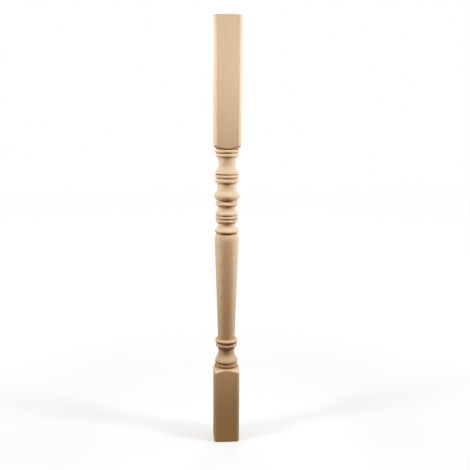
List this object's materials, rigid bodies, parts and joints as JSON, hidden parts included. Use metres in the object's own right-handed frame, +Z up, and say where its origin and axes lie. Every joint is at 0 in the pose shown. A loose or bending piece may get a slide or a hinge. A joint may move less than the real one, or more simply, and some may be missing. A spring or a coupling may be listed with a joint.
{
  "type": "newel post",
  "caption": "Plain timber newel post with chamfered square blocks at both ends and a turned middle of rings, coves, ogees and a long tapered shaft, for a stair or landing balustrade.",
  "frame": {"origin": "centre of the foot, on the underside of the lower block", "axes": "+Z up along the post's axis; X and Y square to the faces of the blocks, with the front face towards -Y"},
  "size_m": [0.091, 0.091, 1.5],
  "materials": {
    "wood": "bare sanded timber, unfinished"
  },
  "bodies": {
    "root": {"newel_post": "wood"}
  },
  "joints": []
}
